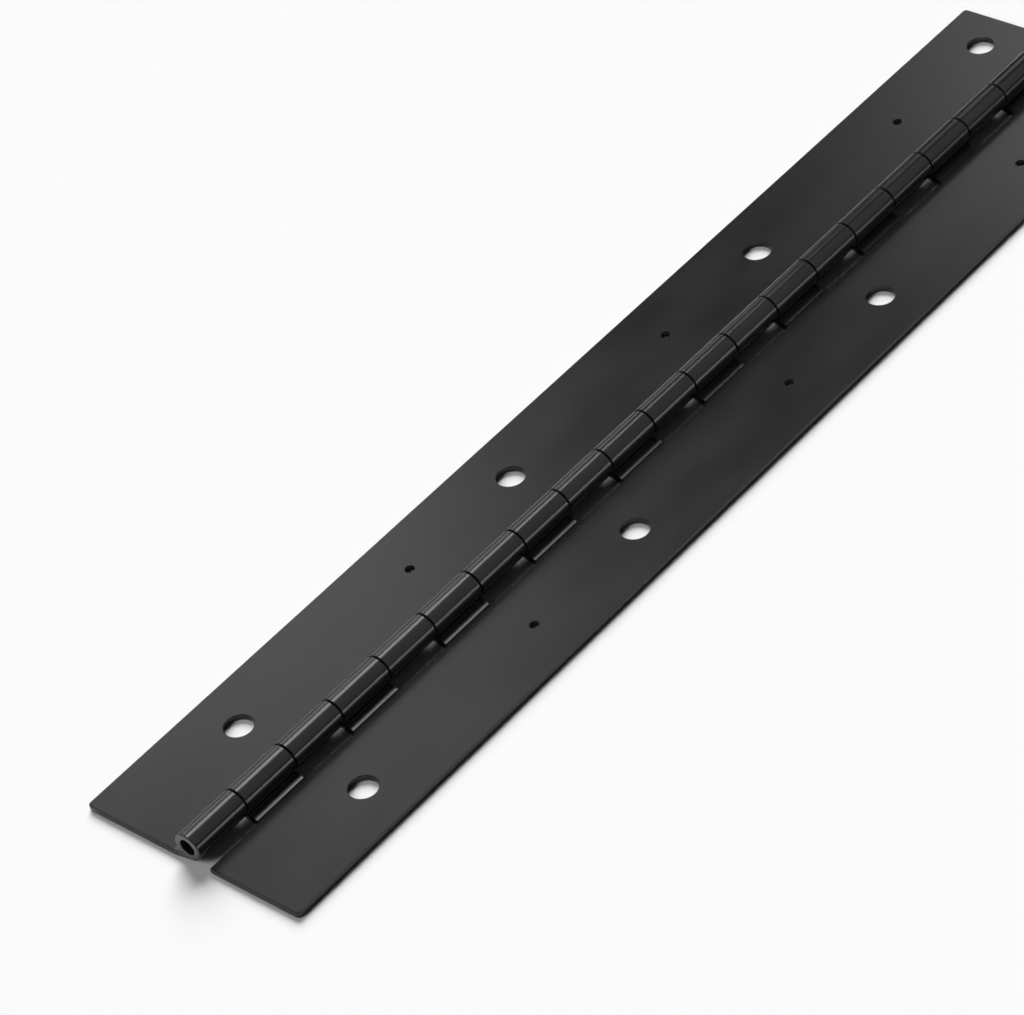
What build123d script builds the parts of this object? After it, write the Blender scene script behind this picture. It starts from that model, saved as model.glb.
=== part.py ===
"""Continuous (piano) hinge: two strips of sheet steel with rolled knuckles on one wire pin.

The hinge lies open and flat with its barrel up. The pin runs along Y, the leaves spread along X,
and the origin is under the middle of the pin, on the plane of the leaves' undersides. The tongues
climb from the leaves to the knuckles, so that the barrel stands clear of that plane.
"""
import math
import os

from build123d import *

# Driving dimensions, in millimetres and degrees.

# Sheet and pin
sheet = 1.27  # thickness of the strip that both leaves are rolled from
pin_diameter = 3.18
pin_clearance = 0.05  # radial running clearance between the pin and a knuckle's bore
pin_recess = 1.0  # how far each pin end stands inside the mouth of its end knuckle
pin_grip = 8.0  # length of the swelled stretch that holds each pin end in its knuckle
pin_chamfer = 0.4

# Knuckles
knuckle_count = 21  # odd, so that one leaf holds both ends of the pin
knuckle_pitch = 12.7
knuckle_gap = 0.3  # end play between neighbouring knuckles
curl_gap = 0.15  # between the tip of a curl and the tongue that it is rolled from
barrel_rise = 1.0  # from the plane of the undersides up to the bottom of the barrel
bend_line = 2.0  # from the pin's axis to where a tongue's underside turns up to its knuckle
bend_radius = 1.0  # inside radius of that bend

# Leaves
leaf_width = 25.4  # from the pin's axis to the outer edge
corner_radius = 0.8
fold_back = 95.0  # degrees that the leaves fold back past flat
notch_clearance = 0.36  # left at that limit between one leaf's edge and the other's underside
root_radius = 0.35
root_share = 0.45  # most of a tongue's flat stretch that the root radius may take up

# Holes
screw_hole_diameter = 5.6
screw_line = 15.0  # from the pin's axis
screw_count = 4
screw_pitch = 76.2
first_screw = 28.6  # from the front end of the leaf
tack_hole_diameter = 1.8
tack_offset = 47.0  # from a screw hole to the tack hole behind it

same_place = 1e-6  # two positions this close count as one

# Worked out from the driving dimensions
bore_radius = pin_diameter / 2 + pin_clearance
barrel_radius = bore_radius + sheet
pin_height = barrel_radius + barrel_rise
notch_reach = pin_height * math.tan(math.radians(fold_back / 2)) + notch_clearance
knuckle_length = knuckle_pitch - knuckle_gap
length = knuckle_count * knuckle_pitch - knuckle_gap
front_end = -length / 2
tack_count = screw_count - 1

# A tongue climbs at the angle at which its underside is tangent to the barrel.
climb = math.degrees(
    math.acos(barrel_radius / math.hypot(pin_height, bend_line))
    - math.atan2(bend_line, pin_height)
)
bend_start = bend_line + (sheet + bend_radius) * math.tan(math.radians(climb / 2))

# A curl stops where its outer corner is curl_gap above the climbing tongue's upper face.
curl_end = 180 + climb + math.degrees(math.asin((bore_radius - curl_gap) / barrel_radius))


def knuckle_middle(index):
    """Distance along Y of the middle of a knuckle, counted from the front end."""
    return front_end + index * knuckle_pitch + knuckle_length / 2


def knuckle():
    """One knuckle: the tongue bends up from the leaf and climbs to the pin.

    It then goes under the pin, up on its far side, and back over it.
    """
    bend_centre = (-bend_start, sheet + bend_radius)
    under_bend = CenterArc(bend_centre, sheet + bend_radius, -90, climb)
    over_bend = CenterArc(bend_centre, bend_radius, -90, climb)
    roll_start = climb - 90
    outside = CenterArc((0, pin_height), barrel_radius, roll_start, curl_end - roll_start)
    inside = CenterArc((0, pin_height), bore_radius, roll_start, curl_end - roll_start)
    root = Line(over_bend @ 0, under_bend @ 0)
    under = Line(under_bend @ 1, outside @ 0)
    tip = Line(outside @ 1, inside @ 1)
    over = Line(inside @ 0, over_bend @ 1)
    section = make_face([root, under_bend, under, outside, tip, inside, over, over_bend])
    return extrude(Plane.XZ * section, amount=knuckle_length / 2, both=True)


def comb(own_knuckles):
    """Flat outline of a leaf: a strip with one tongue for each of its own knuckles."""
    strip_width = leaf_width - notch_reach
    strip = Pos(-notch_reach - strip_width / 2, 0) * Rectangle(strip_width, length)
    strip = fillet(strip.vertices().group_by(Axis.X)[0], corner_radius)
    tongue_flat = notch_reach - bend_start
    tongue = Pos(-bend_start - tongue_flat / 2, 0) * Rectangle(tongue_flat, knuckle_length)
    outline = strip + [Pos(0, knuckle_middle(k)) * tongue for k in own_knuckles]
    roots = [
        corner
        for corner in outline.vertices()
        if abs(corner.X + notch_reach) < same_place and abs(corner.Y) < length / 2 - same_place
    ]
    return fillet(roots, min(root_radius, root_share * tongue_flat))


def hole_row(diameter, count, start):
    """A row of round holes along a leaf, one screw_pitch apart."""
    hole = Circle(diameter / 2)
    return [Pos(-screw_line, front_end + start + i * screw_pitch) * hole for i in range(count)]


def leaf(own_knuckles):
    """A leaf on the -X side of the pin, with its knuckles rolled from the same sheet."""
    outline = comb(own_knuckles)
    outline -= hole_row(screw_hole_diameter, screw_count, first_screw)
    outline -= hole_row(tack_hole_diameter, tack_count, first_screw + tack_offset)
    plate = extrude(outline, amount=sheet)
    return plate + [Pos(0, knuckle_middle(k), 0) * knuckle() for k in own_knuckles]


def pin():
    """Wire pin that runs in every knuckle and grips the two end knuckles with swelled ends."""
    half = length / 2 - pin_recess
    shaft = Cylinder(pin_diameter / 2, 2 * (half - pin_grip))
    grip = Cylinder(bore_radius, pin_grip)
    grip = chamfer(grip.edges().group_by(Axis.Z)[-1], pin_chamfer)
    grip = Pos(0, 0, half - pin_grip / 2) * grip
    wire = shaft + grip + mirror(grip, about=Plane.XY)
    return Pos(0, 0, pin_height) * Rot(X=90) * wire


left_leaf = leaf(range(0, knuckle_count, 2))
right_leaf = mirror(leaf(range(1, knuckle_count, 2)), about=Plane.YZ)
hinge_pin = pin()

os.makedirs("parts", exist_ok=True)
for name, shape in {
    "left_leaf": left_leaf,
    "right_leaf": right_leaf,
    "hinge_pin": hinge_pin,
}.items():
    export_step(shape, f"parts/{name}.step")
    print(name, "volume", round(shape.volume, 1), "mm3", "solids", len(shape.solids()))
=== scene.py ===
# %% [markdown]
# # A piano hinge in semi-gloss black paint
# A piano hinge is three pieces: two strips of sheet steel, the leaves, and one long wire pin.
# Each leaf has a comb of tongues along one side, and every tongue is rolled into a knuckle round
# the pin. The construction comes in as a fixed frame, so this script only has to dress it. It
# makes finer leaves and a finer pin in the same places, paints them, and lights them.

# %% Load the frame
import math

import bmesh
import bpy
from mathutils import Matrix, Vector


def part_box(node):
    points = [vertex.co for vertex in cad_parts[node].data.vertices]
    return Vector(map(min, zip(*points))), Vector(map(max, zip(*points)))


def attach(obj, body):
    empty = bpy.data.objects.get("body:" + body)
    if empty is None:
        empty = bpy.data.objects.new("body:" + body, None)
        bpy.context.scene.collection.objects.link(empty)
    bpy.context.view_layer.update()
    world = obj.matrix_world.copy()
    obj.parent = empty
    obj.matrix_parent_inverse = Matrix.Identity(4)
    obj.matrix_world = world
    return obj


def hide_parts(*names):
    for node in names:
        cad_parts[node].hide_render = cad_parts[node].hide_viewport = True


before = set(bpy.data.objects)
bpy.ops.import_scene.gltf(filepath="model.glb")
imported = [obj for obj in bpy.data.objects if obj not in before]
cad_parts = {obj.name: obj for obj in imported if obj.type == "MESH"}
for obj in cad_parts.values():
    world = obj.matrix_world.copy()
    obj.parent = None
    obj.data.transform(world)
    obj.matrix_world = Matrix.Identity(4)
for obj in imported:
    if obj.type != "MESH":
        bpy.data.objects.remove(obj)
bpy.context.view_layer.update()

# %% [markdown]
# ## Sizes
# The big sizes are read from the frame, so the dressed hinge can't drift from the construction.
# The small ones, such as the sheet's thickness, can't be read from a box and are named here.
# The meshes are worked in millimetres, because Blender's mesh operators merge points that are
# a few hundredths of a unit apart, and are scaled to metres when they are finished.

# %% Sizes from the frame, in millimetres
MM = 0.001
leaf_low, leaf_high = (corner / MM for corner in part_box("left_leaf"))
pin_low, pin_high = (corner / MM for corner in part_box("hinge_pin"))
front_end = leaf_low.y
back_end = leaf_high.y
leaf_width = -leaf_low.x
pin_height = (pin_low.z + pin_high.z) / 2
barrel_radius = leaf_high.z - pin_height
print("leaf", round(leaf_width, 2), "wide", round(back_end - front_end, 2), "long")

# %% Sizes of the sheet, the knuckles and the holes, in millimetres
sheet = 1.27
knuckle_count = 21
knuckle_gap = 0.3
curl_gap = 0.15
bend_line = 4.0
bend_radius = 1.0
fold_back = 95.0
notch_clearance = 0.36
root_radius = 0.35
corner_radius = 0.8
screw_line = 15.0
screw_count = 4
screw_pitch = 76.2
first_screw = 28.6
tack_offset = 47.0
screw_hole_radius = 2.8
tack_hole_radius = 0.9
same_place = 0.001  # points this close are one point
knuckle_pitch = (back_end - front_end + knuckle_gap) / knuckle_count
knuckle_length = knuckle_pitch - knuckle_gap
notch_reach = pin_height * math.tan(math.radians(fold_back / 2)) + notch_clearance
print("knuckles", knuckle_count, "of", round(knuckle_length, 2))

# %% [markdown]
# The tongues climb from the leaf to the barrel, which stands a little above the leaf's underside.
# The climb is set so that the underside of a tongue runs into the barrel without a kink, as it
# does when the sheet is drawn tight round the pin. It starts a little farther out than in the
# plain construction, so it is gentler and shows as a thin line of light beside the barrel.

# %% Work out the climb of the tongues
climb = math.acos(barrel_radius / math.hypot(pin_height, bend_line)) - math.atan2(
    bend_line, pin_height
)
outer_bend = sheet + bend_radius
bend_start = bend_line + outer_bend * math.tan(climb / 2)
climb_length = bend_start / math.cos(climb) + (barrel_radius - outer_bend) * math.tan(climb)
print("the tongues climb at", round(math.degrees(climb), 1), "degrees")

# %% [markdown]
# ## The flat blank of a leaf
# Before it is rolled, a leaf is a flat strip with a comb of tongues. Its outline is drawn once,
# with the outer edge on the +X side. The tongues run on past the line where they will bend, so
# that a clean cut can be made through them there later. The small arcs where a tongue meets the
# strip are the marks of the notching punch. A triangle fill closes an outline with holes in one
# step, where a grid of cut squares would leave many stray lines.

# %% Draw the outline
spare_length = 1.0
tongue_end = bend_start - spare_length
arc_steps = 5


def on_circle(centre, radius, degrees):
    """The point of a circle in a plane that lies at an angle in degrees."""
    angle = math.radians(degrees)
    return (centre[0] + radius * math.cos(angle), centre[1] + radius * math.sin(angle))


def arc(centre, radius, start, end, steps=arc_steps):
    """Points of an arc in a plane, from one angle to another in degrees."""
    turn = end - start
    return [on_circle(centre, radius, start + turn * i / steps) for i in range(steps + 1)]


def comb_outline(own_knuckles):
    """Outline of the blank, from the front along the comb and back along the outer edge."""
    inner = notch_reach - root_radius
    points = []
    for knuckle in own_knuckles:
        low = front_end + knuckle * knuckle_pitch
        high = low + knuckle_length
        if knuckle > 0:
            points += arc((inner, low - root_radius), root_radius, 0, 90)
        points += [(tongue_end, low), (tongue_end, high)]
        if knuckle < knuckle_count - 1:
            points += arc((inner, high + root_radius), root_radius, -90, 0)
    if 0 not in own_knuckles:
        points = [(notch_reach, front_end)] + points + [(notch_reach, back_end)]
    outer = leaf_width - corner_radius
    points += arc((outer, back_end - corner_radius), corner_radius, 90, 0)
    points += arc((outer, front_end + corner_radius), corner_radius, 0, -90)
    return points


print("outline of the left blank:", len(comb_outline(range(0, knuckle_count, 2))), "points")

# %% Fill the outline round its holes
hole_steps = 64


def draw_blank(bm, own_knuckles):
    """The outline and its holes as edges, closed by one flat fill."""
    corners = [bm.verts.new((x, y, 0)) for x, y in comb_outline(own_knuckles)]
    for corner, following in zip(corners, corners[1:] + corners[:1]):
        bm.edges.new((corner, following))
    for i in range(screw_count):
        screw_y = front_end + first_screw + i * screw_pitch
        holes = [(screw_y, screw_hole_radius)]
        if i < screw_count - 1:
            holes.append((screw_y + tack_offset, tack_hole_radius))
        for y, radius in holes:
            place = Matrix.Translation((screw_line, y, 0))
            bmesh.ops.create_circle(bm, segments=hole_steps, radius=radius, matrix=place)
    bmesh.ops.triangle_fill(bm, edges=bm.edges[:], use_beauty=True, normal=(0, 0, 1))


print("each leaf has", screw_count, "screw holes and", screw_count - 1, "tack holes")

# %% [markdown]
# ## From blank to sheet
# The blank gets its thickness by an extrusion. Sheared and punched edges aren't knife sharp, and
# paint rounds them further, so each face of the sheet is raised in a few short insets that follow
# a quarter circle. A bevel would do the same, but the insets leave the long triangles of the fill
# alone. Each vertex also stores how much of an edge it is, from 0 on the flats to 1 on the walls.
# The paint reads that number to wear thin along the edges.

# %% Thicken the blank and round its edges
edge_round = 0.14
round_steps = 3
facing = 0.9  # how far a face's normal has to point up or down for the face to be a flat one


def only(parts, kind):
    """The vertices, the edges or the faces in a list of mesh parts."""
    return [part for part in parts if isinstance(part, kind)]


def round_over(bm, faces, wear):
    """Raises a region of faces with a rounded rim all round it."""
    for step in range(1, round_steps + 1):
        before = math.radians(90 * (step - 1) / round_steps)
        after = math.radians(90 * step / round_steps)
        bmesh.ops.inset_region(
            bm,
            faces=faces,
            thickness=edge_round * (math.cos(before) - math.cos(after)),
            depth=edge_round * (math.sin(after) - math.sin(before)),
            use_boundary=True,
            use_even_offset=True,
        )
        for vert in {v for face in faces for v in face.verts}:
            vert[wear] = 1 - step / round_steps


def thicken(bm, wear):
    """Gives the flat blank its thickness, with rounded edges on both sides."""
    for vert in bm.verts:
        vert.co.z = edge_round
    raised = bmesh.ops.extrude_face_region(bm, geom=bm.faces[:])["geom"]
    lifted = only(raised, bmesh.types.BMVert)
    bmesh.ops.translate(bm, verts=lifted, vec=(0, 0, sheet - 2 * edge_round))
    bmesh.ops.recalc_face_normals(bm, faces=bm.faces[:])
    for vert in bm.verts:
        vert[wear] = 1.0
    for up in (1, -1):
        flats = [face for face in bm.faces if face.normal.z * up > facing]
        round_over(bm, flats, wear)


print("edges are rounded by", edge_round, "in", round_steps, "steps")

# %% [markdown]
# ## Rolling the knuckles
# Each tongue bends up, climbs straight to the barrel, and is rolled under the pin, up its far side
# and over it, until its tip comes back near the tongue. The blank is cut straight across where
# the bend starts. What the cut leaves open, one rounded rectangle for each tongue, is spun round
# the bend, drawn along the climb and spun round the pin. This keeps the rounded edges and the
# exact thickness all the way, which a bent lattice wouldn't.

# %% Spin the tongues round the pin
bend_steps = 8
roll_steps = 72
bore_radius = barrel_radius - sheet
roll_angle = 1.5 * math.pi + math.asin((bore_radius - curl_gap) / barrel_radius)
tip_angle = edge_round / barrel_radius


def spin_on(bm, section, centre, angle, steps):
    """Spins an open section about an axis along Y and returns where it ends."""
    return bmesh.ops.spin(
        bm, geom=section, cent=centre, axis=(0, 1, 0), angle=angle, steps=steps, use_merge=False
    )["geom_last"]


def roll_knuckles(bm, wear):
    """Cuts the tongues at their bend, draws them up to the pin and rolls them round it."""
    everything = bm.verts[:] + bm.edges[:] + bm.faces[:]
    cut = bmesh.ops.bisect_plane(
        bm, geom=everything, plane_co=(bend_start, 0, 0), plane_no=(-1, 0, 0), clear_outer=True
    )["geom_cut"]
    bent = spin_on(bm, cut, (bend_start, 0, outer_bend), climb, bend_steps)
    drawn = bmesh.ops.extrude_edge_only(bm, edges=only(bent, bmesh.types.BMEdge))["geom"]
    way = (-climb_length * math.cos(climb), 0, climb_length * math.sin(climb))
    bmesh.ops.translate(bm, verts=only(drawn, bmesh.types.BMVert), vec=way)
    section = only(drawn, bmesh.types.BMVert)
    section += [e for e in only(drawn, bmesh.types.BMEdge) if set(e.verts) <= set(section)]
    spun = spin_on(bm, section, (0, 0, pin_height), roll_angle - tip_angle, roll_steps)
    tips = bmesh.ops.edgeloop_fill(bm, edges=only(spun, bmesh.types.BMEdge))["faces"]
    bmesh.ops.recalc_face_normals(bm, faces=bm.faces[:])
    round_over(bm, tips, wear)
    print("rolled", len(tips), "knuckles through", round(math.degrees(roll_angle)), "degrees")


# %% [markdown]
# ## The closed crease
# Where the tip of a curl comes back to its own tongue, a narrow crease would lead into the bore.
# On the real hinge the coating closes it, and the barrel's end shows a whole ring. A bead with
# the section of the crease is drawn along the inside of each knuckle to close it.

# %% Close the crease of each knuckle
bead_setback = 0.05
bead_steps = 12
bead_face = bore_radius + 0.02
bead_mouth, mouth_depth = -40, barrel_radius - 0.3  # inside the tip of the curl
bead_end, end_depth = -100, 2.2  # inside the foot of the curl
bead_corner = (1.9, 1.4)  # inside the tongue


def bead_outline():
    """Section of a bead, as points across and up, that ends inside the metal all round."""
    centre = (0, pin_height)
    points = arc(centre, bead_face, bead_mouth, bead_end, bead_steps)
    points.append(on_circle(centre, end_depth, bead_end))
    points.append(bead_corner)
    points.append(on_circle(centre, mouth_depth, bead_mouth))
    return points


def add_beads(bm, own_knuckles):
    """One bead for each of a leaf's own knuckles."""
    for knuckle in own_knuckles:
        low = front_end + knuckle * knuckle_pitch + bead_setback
        corners = [bm.verts.new((x, low, z)) for x, z in bead_outline()]
        edges = [bm.edges.new(pair) for pair in zip(corners, corners[1:] + corners[:1])]
        filled = bmesh.ops.triangle_fill(bm, edges=edges, use_beauty=True)["geom"]
        caps = only(filled, bmesh.types.BMFace)
        raised = bmesh.ops.extrude_face_region(bm, geom=caps, use_keep_orig=True)["geom"]
        along = (0, knuckle_length - 2 * bead_setback, 0)
        bmesh.ops.translate(bm, verts=only(raised, bmesh.types.BMVert), vec=along)


print("section of a bead:", len(bead_outline()), "points")

# %% [markdown]
# ## Flat and smooth faces
# The strip of a leaf is flat, and the fill has cut it into long triangles. Smooth shading would
# bend the light across them, so faces that lie flat are shaded flat. The knuckles are shaded
# smooth, or each step of the roll would show. Blender can also choose sharp edges by their angle
# alone, but each step round a rim turns too little for that, so the line where a broad face meets
# its rounded rim is marked sharp here, and the broad face keeps a straight shine.

# %% Shade flats flat and rounds smooth
crisp_angle = math.radians(50)
lying_flat = 0.9999  # upward part of a normal above which a face lies flat
unworn = 0.01  # edge wear below this is none


def shade(bm, wear):
    """Flat sheet faces stay flat, and a knuckle's broad faces keep their own straight shine."""
    for face in bm.faces:
        on_strip = all(v.co.x > bend_start - same_place for v in face.verts)
        face.smooth = not (abs(face.normal.z) > lying_flat and on_strip)
    for edge in bm.edges:
        broad = [all(v[wear] < unworn for v in face.verts) for face in edge.link_faces]
        edge.smooth = len(set(broad)) < 2 and edge.calc_face_angle(0.0) < crisp_angle


print("edges that turn over", round(math.degrees(crisp_angle)), "degrees stay crisp")

# %% Finish a mesh as an object
def make_piece(name, bm, material):
    """Scales a mesh from millimetres to metres and puts it in the scene at the origin."""
    bmesh.ops.scale(bm, vec=(MM, MM, MM), verts=bm.verts)
    mesh = bpy.data.meshes.new(name)
    bm.to_mesh(mesh)
    bm.free()
    mesh.materials.append(material)
    piece = bpy.data.objects.new(name, mesh)
    bpy.context.scene.collection.objects.link(piece)
    print(name, len(mesh.vertices), "vertices", len(mesh.polygons), "faces")
    return piece


# %% [markdown]
# ## Helpers for materials
# All the finishes are node materials on Object coordinates, so their patterns keep their real
# size and stay on the metal when the hinge folds. Object coordinates are in metres, so a noise
# scale of 1000 makes grains about a millimetre across.

# %% Node helpers
def new_material(name):
    """An empty node material with its output, and a function that adds nodes to it."""
    material = bpy.data.materials.new(name)
    material.use_nodes = True
    tree = material.node_tree
    tree.nodes.clear()

    def add(kind, **settings):
        node = tree.nodes.new(kind)
        for key, value in settings.items():
            if key in node.inputs:
                node.inputs[key].default_value = value
            else:
                setattr(node, key, value)
        return node

    return material, tree.links.new, add


def stretched_noise(link, add, scale, stretch=(1, 1, 1), detail=3.0):
    """Noise on Object coordinates, in grains per metre, stretched along the axes."""
    place = add("ShaderNodeTexCoord")
    mapping = add("ShaderNodeMapping", Scale=stretch)
    noise = add("ShaderNodeTexNoise", Scale=scale, Detail=detail)
    link(place.outputs["Object"], mapping.inputs["Vector"])
    link(mapping.outputs["Vector"], noise.inputs["Vector"])
    return noise.outputs["Fac"]


def spread(link, add, value, low, high, to_low=0.0, to_high=1.0):
    """Maps a value from one range to another, held at both ends."""
    node = add("ShaderNodeMapRange")
    node.inputs["From Min"].default_value = low
    node.inputs["From Max"].default_value = high
    node.inputs["To Min"].default_value = to_low
    node.inputs["To Max"].default_value = to_high
    link(value, node.inputs["Value"])
    return node.outputs["Result"]


def blend_colours(link, add, amount, first, second):
    """Mixes two colours, or two colour outputs, by an amount."""
    node = add("ShaderNodeMix", data_type="RGBA")
    for socket, colour in ((node.inputs[6], first), (node.inputs[7], second)):
        if isinstance(colour, tuple):
            socket.default_value = (*colour, 1.0)
        else:
            link(colour, socket)
    link(amount, node.inputs[0])
    return node.outputs[2]


# %% [markdown]
# ## Semi-gloss black paint
# The leaves are sprayed black after rolling. Sprayed paint has a faint orange peel, patches that
# are a little duller than others, and a greyer, thinner film on the edges, where it draws back.
# The gloss comes from the Principled shader alone: the darker the paint, the more its look is
# made of what it reflects, so roughness matters more here than colour.

# %% Black paint
paint_black = (0.0075, 0.0075, 0.0078)
paint_grey = (0.0110, 0.0110, 0.0110)
edge_grey = (0.022, 0.022, 0.022)
dullness = (0.200, 0.225)
patch_scale, patch_stretch = 120.0, (1, 0.4, 1)
grey_range, dull_range = (0.35, 0.65), (0.3, 0.7)  # of the patches
rubbed_scale, rubbed_range = 900.0, (0.40, 0.62)
peel_scale, peel_strength, peel_height = 1400.0, 0.12, 0.00003


def black_paint():
    """Black paint with orange peel, dull patches and thin grey edges."""
    material, link, add = new_material("black_paint")
    shader = add("ShaderNodeBsdfPrincipled", IOR=1.5)
    patches = stretched_noise(link, add, patch_scale, stretch=patch_stretch)
    film = blend_colours(
        link, add, spread(link, add, patches, *grey_range), paint_black, paint_grey
    )
    wear = add("ShaderNodeAttribute", attribute_name="edge_wear").outputs["Fac"]
    rubbed = stretched_noise(link, add, rubbed_scale)
    thin = add("ShaderNodeMath", operation="MULTIPLY")
    link(wear, thin.inputs[0])
    link(spread(link, add, rubbed, *rubbed_range), thin.inputs[1])
    link(
        blend_colours(link, add, thin.outputs[0], film, edge_grey), shader.inputs["Base Color"]
    )
    link(spread(link, add, patches, *dull_range, *dullness), shader.inputs["Roughness"])
    peel = add("ShaderNodeBump", Strength=peel_strength, Distance=peel_height)
    link(stretched_noise(link, add, peel_scale, detail=2.0), peel.inputs["Height"])
    link(peel.outputs["Normal"], shader.inputs["Normal"])
    output = add("ShaderNodeOutputMaterial")
    link(shader.outputs["BSDF"], output.inputs["Surface"])
    return material


paint = black_paint()
print("made", paint.name)

# %% [markdown]
# ## Dark drawn steel
# The pin is cut from drawn wire and slid in bare, so it is steel with the fine lengthwise lines of
# the die, dulled by oil. Its colour is made darker than the wire's own, as painted shade, so that
# the pin's ends, sunk in the end knuckles, look as black as a shaded hole. Noise that is squeezed
# along Y makes such lines without any image.

# %% Dark steel
# both tones are darker than the wire itself: painted shade that keeps the sunk pin ends black
shaded_steel_dark = (0.030, 0.030, 0.032)
shaded_steel_pale = (0.060, 0.060, 0.062)
steel_dullness = (0.34, 0.50)
line_scale, line_stretch, line_range = 2500.0, (1, 0.02, 1), (0.3, 0.7)
line_strength, line_depth = 0.2, 0.00002


def dark_steel():
    """Drawn wire: metal with fine lines along its length."""
    material, link, add = new_material("dark_steel")
    shader = add("ShaderNodeBsdfPrincipled", Metallic=1.0)
    lines = stretched_noise(link, add, line_scale, stretch=line_stretch)
    colour = blend_colours(
        link, add, spread(link, add, lines, *line_range), shaded_steel_dark, shaded_steel_pale
    )
    link(colour, shader.inputs["Base Color"])
    link(spread(link, add, lines, *line_range, *steel_dullness), shader.inputs["Roughness"])
    groove = add("ShaderNodeBump", Strength=line_strength, Distance=line_depth)
    link(lines, groove.inputs["Height"])
    link(groove.outputs["Normal"], shader.inputs["Normal"])
    output = add("ShaderNodeOutputMaterial")
    link(shader.outputs["BSDF"], output.inputs["Surface"])
    return material


steel = dark_steel()
print("made", steel.name)

# %% [markdown]
# ## The two leaves
# The left leaf holds the first knuckle, the last one and every second one between them. The right
# leaf is the same blank turned over, with the knuckles between. Each takes the place of its plain
# construction solid and rides on that solid's body.

# %% Build the leaves
def build_leaf(name, node, body, own_knuckles, side):
    """One painted leaf. Side is 1 for the leaf on +X and -1 for the leaf on -X."""
    bm = bmesh.new()
    wear = bm.verts.layers.float.new("edge_wear")
    draw_blank(bm, own_knuckles)
    thicken(bm, wear)
    roll_knuckles(bm, wear)
    bmesh.ops.remove_doubles(bm, verts=bm.verts[:], dist=same_place)
    add_beads(bm, own_knuckles)
    bmesh.ops.recalc_face_normals(bm, faces=bm.faces[:])
    shade(bm, wear)
    bmesh.ops.scale(bm, vec=(side, 1, 1), verts=bm.verts)
    bmesh.ops.recalc_face_normals(bm, faces=bm.faces[:])
    leaf = make_piece(name, bm, paint)
    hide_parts(node)
    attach(leaf, body)


build_leaf("left_painted_leaf", "left_leaf", "left_half", range(0, knuckle_count, 2), -1)
build_leaf("right_painted_leaf", "right_leaf", "right_half", range(1, knuckle_count, 2), 1)

# %% [markdown]
# ## The pin
# The pin is a length of wire, a hair thinner than the bore, with a small chamfer at each end. The
# last few millimetres are swelled to grip the end knuckles. It is turned like lathe work: half of
# its side view is spun once round its own axis.

# %% Turn the pin
pin_radius = 1.59
grip_radius = (pin_high.z - pin_low.z) / 2
grip_length = 8.0
chamfer = 0.4
chamfer_ease = 0.1
swell_taper = 1.0
turn_steps = 64
end_face_limit = 0.3  # faces that point less than this along Y are the wire's round side


def build_pin():
    """The wire pin, spun from its side view."""
    bm = bmesh.new()
    half = pin_high.y
    side_view = [
        (0, half),
        (grip_radius - chamfer, half),
        (grip_radius - chamfer_ease, half - chamfer + chamfer_ease),
        (grip_radius, half - chamfer - chamfer_ease),
        (grip_radius, half - grip_length),
        (pin_radius, half - grip_length - swell_taper),
    ]
    side_view += [(radius, -y) for radius, y in reversed(side_view)]
    corners = [bm.verts.new((0, y, pin_height + radius)) for radius, y in side_view]
    edges = [bm.edges.new(pair) for pair in zip(corners, corners[1:])]
    bmesh.ops.spin(
        bm,
        geom=corners + edges,
        cent=(0, 0, pin_height),
        axis=(0, 1, 0),
        angle=math.tau,
        steps=turn_steps,
        use_merge=True,
    )
    bmesh.ops.remove_doubles(bm, verts=bm.verts[:], dist=same_place)
    bmesh.ops.recalc_face_normals(bm, faces=bm.faces[:])
    for face in bm.faces:
        face.smooth = abs(face.normal.y) < end_face_limit
    wire = make_piece("drawn_wire_pin", bm, steel)
    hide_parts("hinge_pin")
    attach(wire, "left_half")


build_pin()

# %% [markdown]
# ## The floor and the room
# The hinge lies on a white sweep, which takes its soft shadow by ordinary shading. The room is
# nearly black above and pale near the horizon, as a studio is, so nearly all the light comes from
# the lamps, and the notches beside the barrel stay as dark as they are on a real hinge.

# %% White floor
floor_half_width = 6.0
floor_drop = 0.00005
sweep_white = (0.9, 0.9, 0.9, 1.0)


def white_floor():
    """A plain matte white sweep."""
    material, link, add = new_material("white_sweep")
    matte = add("ShaderNodeBsdfDiffuse", Color=sweep_white)
    output = add("ShaderNodeOutputMaterial")
    link(matte.outputs["BSDF"], output.inputs["Surface"])
    return material


floor_mesh = bmesh.new()
bmesh.ops.create_grid(floor_mesh, x_segments=1, y_segments=1, size=floor_half_width / MM)
floor = make_piece("floor", floor_mesh, white_floor())
floor.location.z = -floor_drop

# %% The room's own light
room_dark = 0.02
horizon_white = 1.0
horizon_top = 0.16  # upward part of the direction at which the pale band has faded out


def light_the_room():
    """A dark room, pale near the horizon."""
    world = bpy.data.worlds.new("studio")
    bpy.context.scene.world = world
    world.use_nodes = True
    tree = world.node_tree
    tree.nodes.clear()
    place = tree.nodes.new("ShaderNodeTexCoord")
    height = tree.nodes.new("ShaderNodeSeparateXYZ")
    fade = tree.nodes.new("ShaderNodeMapRange")
    fade.interpolation_type = "SMOOTHSTEP"
    fade.inputs["From Min"].default_value = 0.0
    fade.inputs["From Max"].default_value = horizon_top
    fade.inputs["To Min"].default_value = horizon_white
    fade.inputs["To Max"].default_value = room_dark
    air = tree.nodes.new("ShaderNodeBackground")
    output = tree.nodes.new("ShaderNodeOutputWorld")
    tree.links.new(place.outputs["Generated"], height.inputs["Vector"])
    tree.links.new(height.outputs["Z"], fade.inputs["Value"])
    tree.links.new(fade.outputs["Result"], air.inputs["Strength"])
    tree.links.new(air.outputs["Background"], output.inputs["Surface"])


light_the_room()
print("the room is", room_dark, "above and", horizon_white, "at the horizon")

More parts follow.
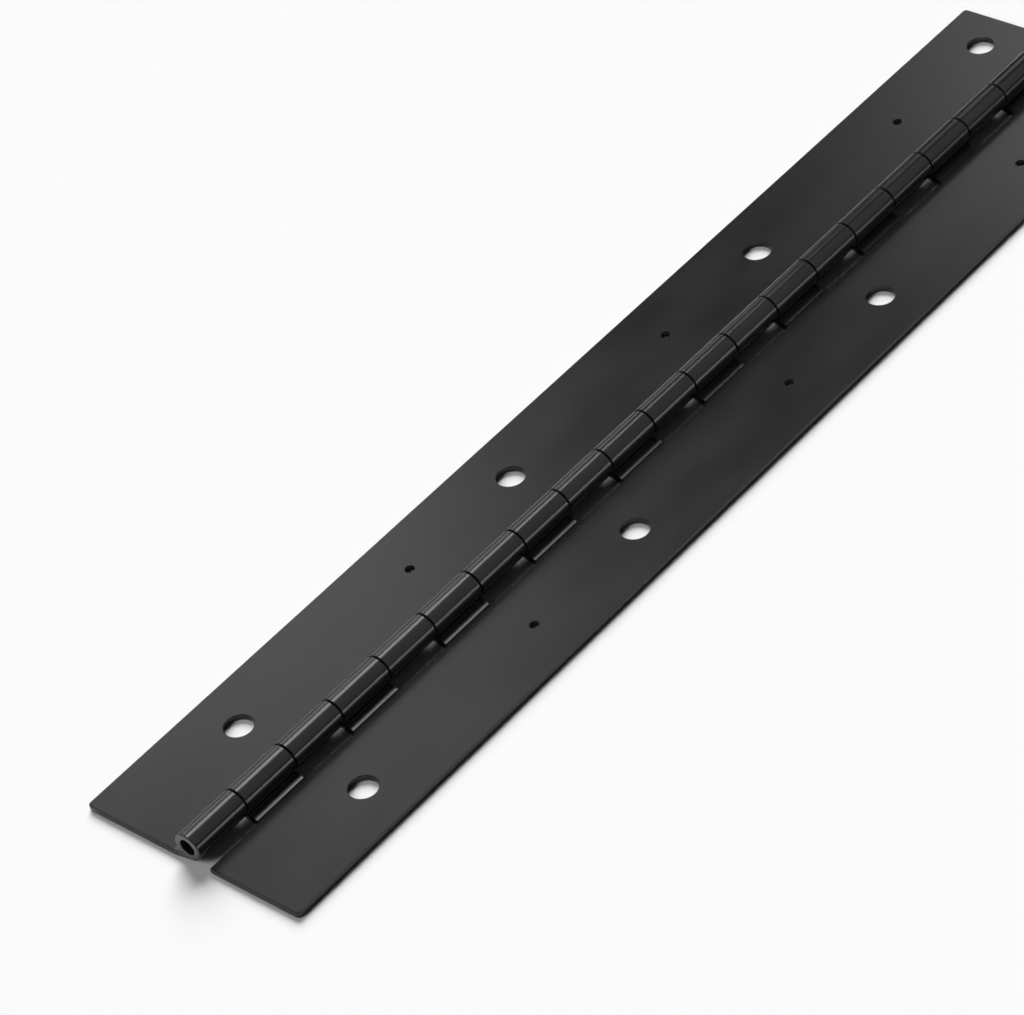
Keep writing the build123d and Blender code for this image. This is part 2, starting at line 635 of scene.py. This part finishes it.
# %% [markdown]
# ## Lamps
# Black gloss shows the lamps more than it shows its own colour, so each lamp has one job. A broad
# soft light opposite the camera brightens the sweep and lays the hinge's shadow towards the
# camera. It stands high enough not to shine under the barrel and into the notches. A weaker one
# beyond the front end softens the shadow along the near edges. Both are kept out of the
# reflections, as a flag keeps a lamp off a glossy product. The boxes do the opposite work: they
# leave the sweep alone and are what the paint shows, as the grey sheen of the leaves and as the
# bright line on the barrel.

# %% Broad lights for the sweep
def broad_light(name, azimuth, elevation, spread_angle, strength):
    """A very soft sun, given by angles in degrees, that the gloss doesn't show."""
    lamp = bpy.data.lights.new(name, "SUN")
    lamp.angle = math.radians(spread_angle)
    lamp.energy = strength
    holder = bpy.data.objects.new(name, lamp)
    bpy.context.scene.collection.objects.link(holder)
    turn, tip = math.radians(azimuth), math.radians(elevation)
    way = Vector((math.cos(turn) * math.cos(tip), math.sin(turn) * math.cos(tip), math.sin(tip)))
    holder.rotation_euler = way.to_track_quat("Z", "Y").to_euler()
    holder.visible_camera = False
    holder.visible_glossy = False
    print(name, "strength", strength)


broad_light("sweep_light", 133, 37, 44, 4.25)
broad_light("front_light", 250, 40, 30, 1.15)

# %% Soft boxes for the gloss
unit_power = 4  # watts that give a square metre of area lamp a radiance of 1


def soft_box(name, place, size, radiance, along=(0, 0, 1)):
    """A lamp aimed at the hinge, sized in metres, with its long side along a direction."""
    lamp = bpy.data.lights.new(name, "AREA")
    lamp.shape = "RECTANGLE"
    lamp.size, lamp.size_y = size
    lamp.energy = unit_power * radiance * size[0] * size[1]
    holder = bpy.data.objects.new(name, lamp)
    bpy.context.scene.collection.objects.link(holder)
    back = Vector(place).normalized()
    long_side = (Vector(along) - back * back.dot(Vector(along))).normalized()
    turn = Matrix((long_side.cross(back), long_side, back)).transposed()
    holder.matrix_world = Matrix.Translation(place) @ turn.to_4x4()
    holder.visible_camera = False
    holder.visible_diffuse = False
    print(name, [round(c, 2) for c in place], "radiance", radiance)


soft_box("near_sheen_box", (-1.51, 0.70, 1.02), (0.92, 0.88), 1.27, along=(0.38, -0.39, 0.84))
soft_box("far_sheen_box", (-0.73, 1.47, 1.05), (0.63, 0.52), 1.22, along=(-0.17, -0.63, 0.76))
soft_box("barrel_box", (-0.60, 0.77, 1.69), (0.58, 0.57), 5.2, along=(-0.82, -0.57, -0.03))
soft_box("side_box", (1.77, 0.81, 0.08), (0.86, 0.21), 3.6)
soft_box("fill_card", (0.92, 0.96, 1.43), (2.20, 2.16), 0.42, along=(-0.21, -0.75, 0.63))

# %% [markdown]
# ## The camera
# A long lens from high on the right shows the hinge running away to the far corner of the
# picture. The camera is turned a little about its own axis, as a hand-held one is.

# %% Place the camera
camera_azimuth = math.radians(48.146)
camera_elevation = math.radians(40.218)
camera_roll = math.radians(-12.667)
camera_distance = 0.77223
camera_target = Vector((-0.010216, -0.03406, 0))
sensor_width, lens_length = 36.0, 146.53  # millimetres
nearest, farthest = 0.01, 50.0


def place_camera():
    """A camera at the given angles round the target, rolled about its own axis."""
    lens = bpy.data.cameras.new("camera")
    lens.sensor_width = sensor_width
    lens.lens = lens_length
    lens.clip_start, lens.clip_end = nearest, farthest
    holder = bpy.data.objects.new("camera", lens)
    bpy.context.scene.collection.objects.link(holder)
    level = math.cos(camera_elevation)
    back = Vector(
        (
            math.sin(camera_azimuth) * level,
            -math.cos(camera_azimuth) * level,
            math.sin(camera_elevation),
        )
    )
    level_right = (-back).cross(Vector((0, 0, 1))).normalized()
    level_up = level_right.cross(-back)
    right = level_right * math.cos(camera_roll) + level_up * math.sin(camera_roll)
    up = level_up * math.cos(camera_roll) - level_right * math.sin(camera_roll)
    turn = Matrix((right, up, back)).transposed()
    holder.matrix_world = (
        Matrix.Translation(camera_target + back * camera_distance) @ turn.to_4x4()
    )
    bpy.context.scene.camera = holder
    return holder


camera = place_camera()
bpy.context.scene.view_settings.view_transform = "Standard"
print("camera at", [round(c, 3) for c in camera.location])
